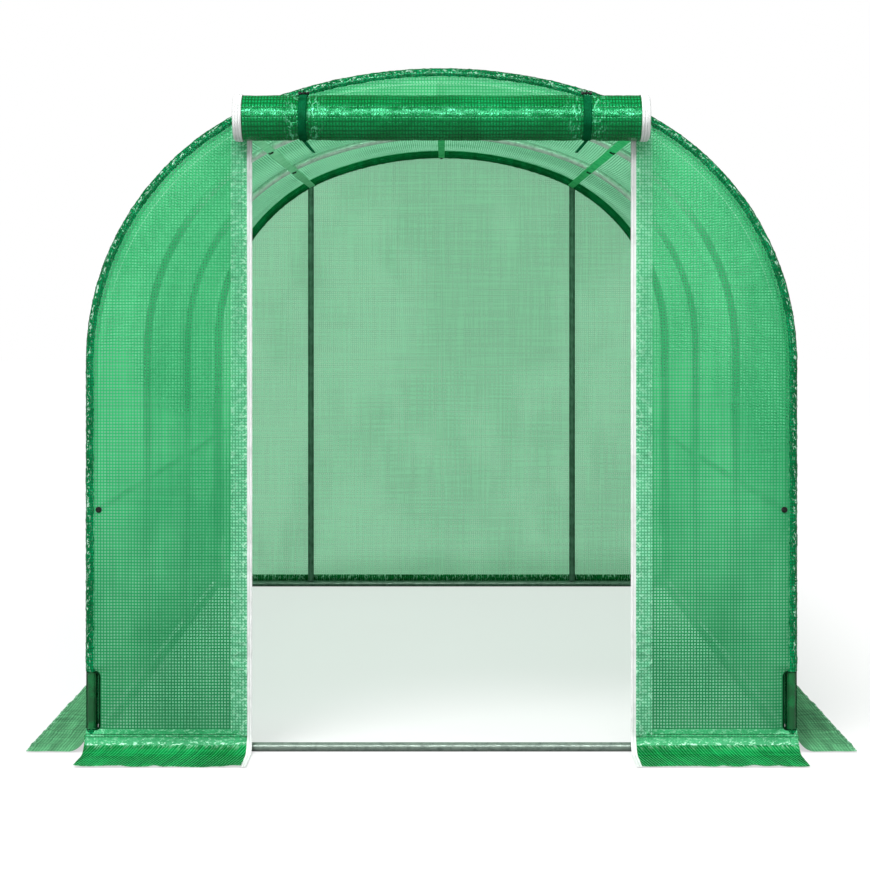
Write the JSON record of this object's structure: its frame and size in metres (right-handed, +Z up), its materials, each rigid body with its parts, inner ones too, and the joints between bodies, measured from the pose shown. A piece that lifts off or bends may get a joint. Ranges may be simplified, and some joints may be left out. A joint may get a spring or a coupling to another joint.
{
  "type": "polytunnel greenhouse",
  "caption": "Walk-in tunnel greenhouse: round-topped steel tube frame under a green mesh film cover, with flat end walls, ground skirts and a rolled-up zip door.",
  "frame": {"origin": "on the ground, under the middle of the tunnel", "axes": "+X to the right seen from the door, +Y from the door to the back wall, +Z up; the door faces -Y"},
  "size_m": [2.3306, 3.336, 1.92],
  "materials": {
    "green_tube": "dark green coating, satin",
    "galvanised": "dull zinc coating",
    "post_tube": "grey-green coating, satin",
    "purlin": "mid green coating, satin",
    "brace": "pale grey-green coating, satin",
    "bolt_cap": "black, satin",
    "mesh_film": "see-through green film with a woven mesh inside, slightly glossy",
    "sleeve": "doubled green film, crinkled, glossy",
    "ground_skirt": "green mesh film, slightly glossy",
    "roll": "rolled green film, glossy",
    "white_tape": "white woven tape, matt",
    "strap": "dark green webbing, matt",
    "buckle": "black, satin"
  },
  "bodies": {
    "root": {"front_hoop": "green_tube", "rear_hoop": "green_tube", "second_hoop": "galvanised", "third_hoop": "galvanised", "left_base_rail": "galvanised", "right_base_rail": "galvanised", "front_sill": "galvanised", "rear_sill": "galvanised", "left_side_rail": "galvanised", "right_side_rail": "galvanised", "left_door_post": "post_tube", "right_door_post": "post_tube", "left_rear_post": "post_tube", "right_rear_post": "post_tube", "ridge_purlin": "purlin", "left_roof_purlin": "purlin", "right_roof_purlin": "purlin", "left_braces": "brace", "right_braces": "brace", "bolt_caps": "bolt_cap", "left_side_cover": "mesh_film", "right_side_cover": "mesh_film", "roof_cover": "mesh_film", "front_left_panel": "mesh_film", "front_right_panel": "mesh_film", "front_header": "mesh_film", "rear_panel": "mesh_film", "front_sleeve": "sleeve", "rear_sleeve": "sleeve", "left_ground_skirt": "ground_skirt", "right_ground_skirt": "ground_skirt", "front_left_skirt": "ground_skirt", "front_right_skirt": "ground_skirt", "rear_skirt": "ground_skirt", "left_zip": "white_tape", "right_zip": "white_tape", "left_roll_end": "white_tape", "right_roll_end": "white_tape", "rolled_door": "roll", "left_door_strap": "strap", "right_door_strap": "strap", "strap_buckles": "buckle"}
  },
  "joints": []
}
